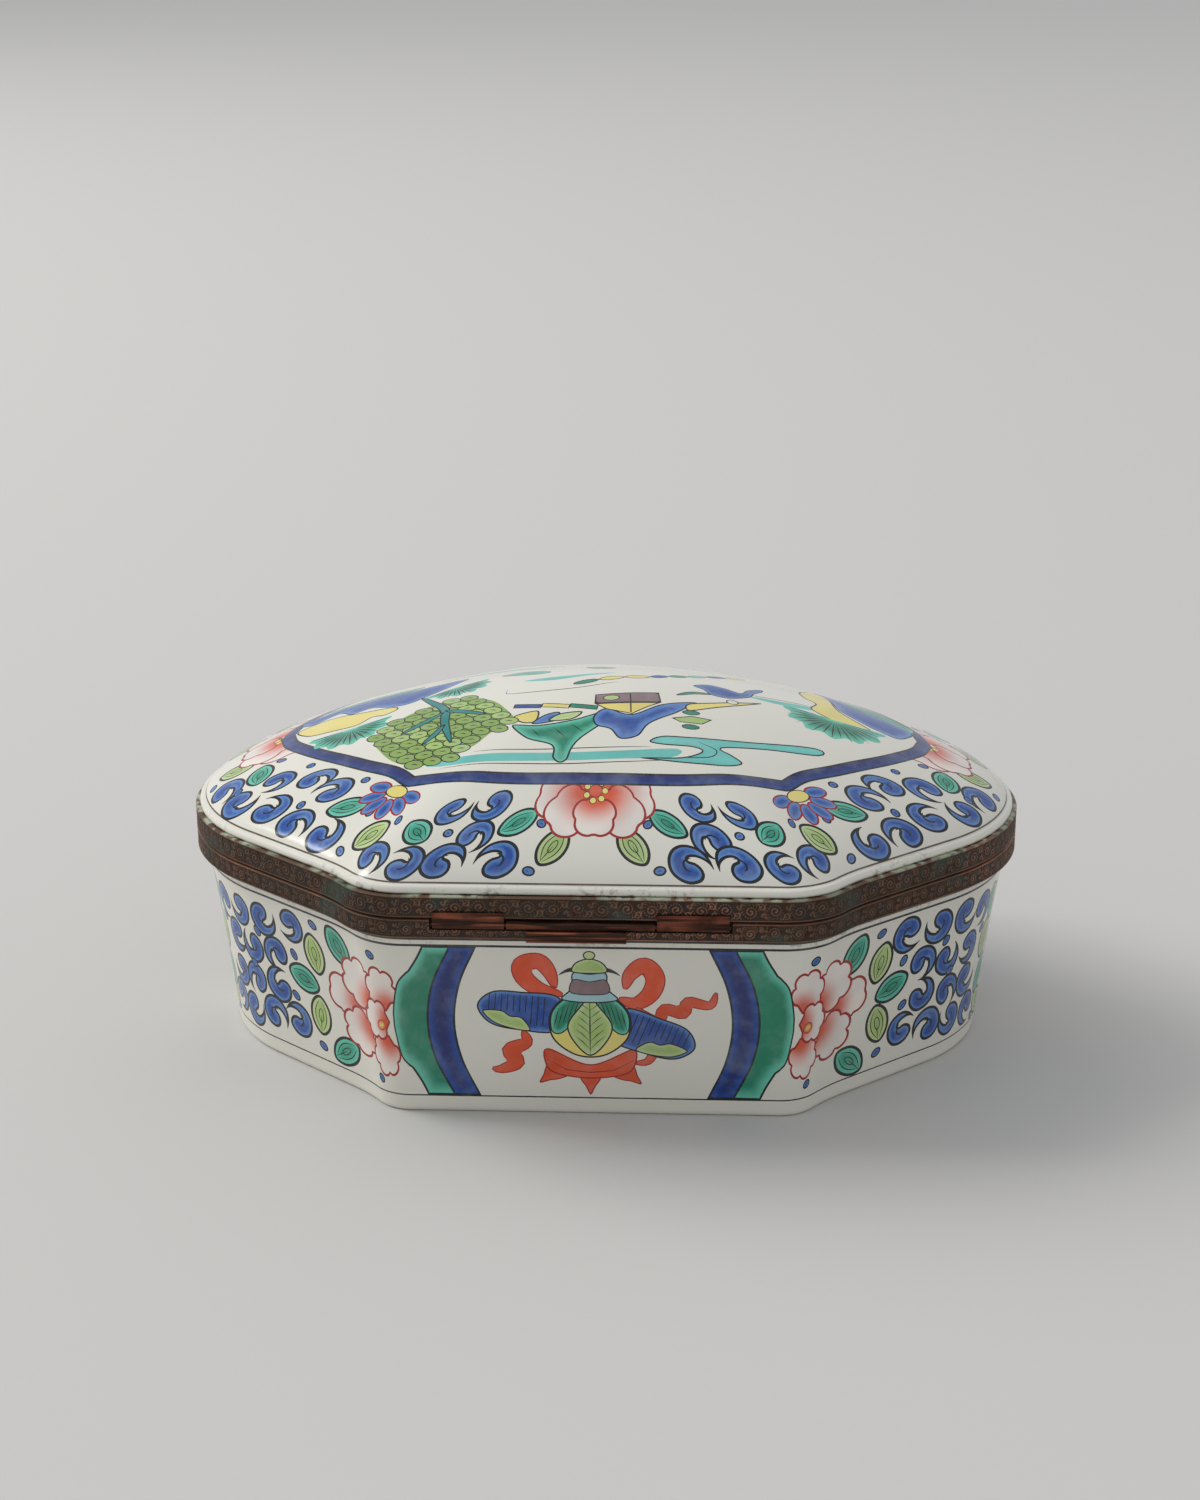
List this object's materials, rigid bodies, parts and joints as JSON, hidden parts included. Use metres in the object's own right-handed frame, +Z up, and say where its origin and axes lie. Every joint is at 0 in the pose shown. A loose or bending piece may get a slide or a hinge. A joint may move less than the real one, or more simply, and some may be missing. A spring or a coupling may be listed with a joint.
{
  "type": "hinged porcelain box",
  "caption": "Hinged porcelain casket with a domed lid, painted in enamels, with engraved metal bands round both rims and a small barrel hinge.",
  "frame": {"origin": "centre of the bounding box at the table plane, under the foot", "axes": "+X along the box, -Y towards the hinge side, +Z up"},
  "size_m": [0.165, 0.1126, 0.0719],
  "materials": {
    "porcelain": "clear glaze over painted enamels",
    "bronze": "dark brown patina, engraved, worn to copper on its edges",
    "copper": "rubbed copper"
  },
  "bodies": {
    "base": {"base_porcelain": "porcelain", "base_band": "bronze", "hinge_knuckle_middle": "bronze", "stop_bar": "copper", "hinge_pin": "bronze"},
    "lid": {"lid_porcelain": "porcelain", "lid_band": "bronze", "hinge_knuckle_left": "bronze", "hinge_knuckle_right": "bronze"}
  },
  "joints": [
    {"name": "lid_hinge", "type": "hinge", "parent": "base", "child": "lid", "pos_m": [-0.002, -0.05535, 0.0413], "axis": [1, 0, 0], "range_deg": [0, 100]}
  ]
}
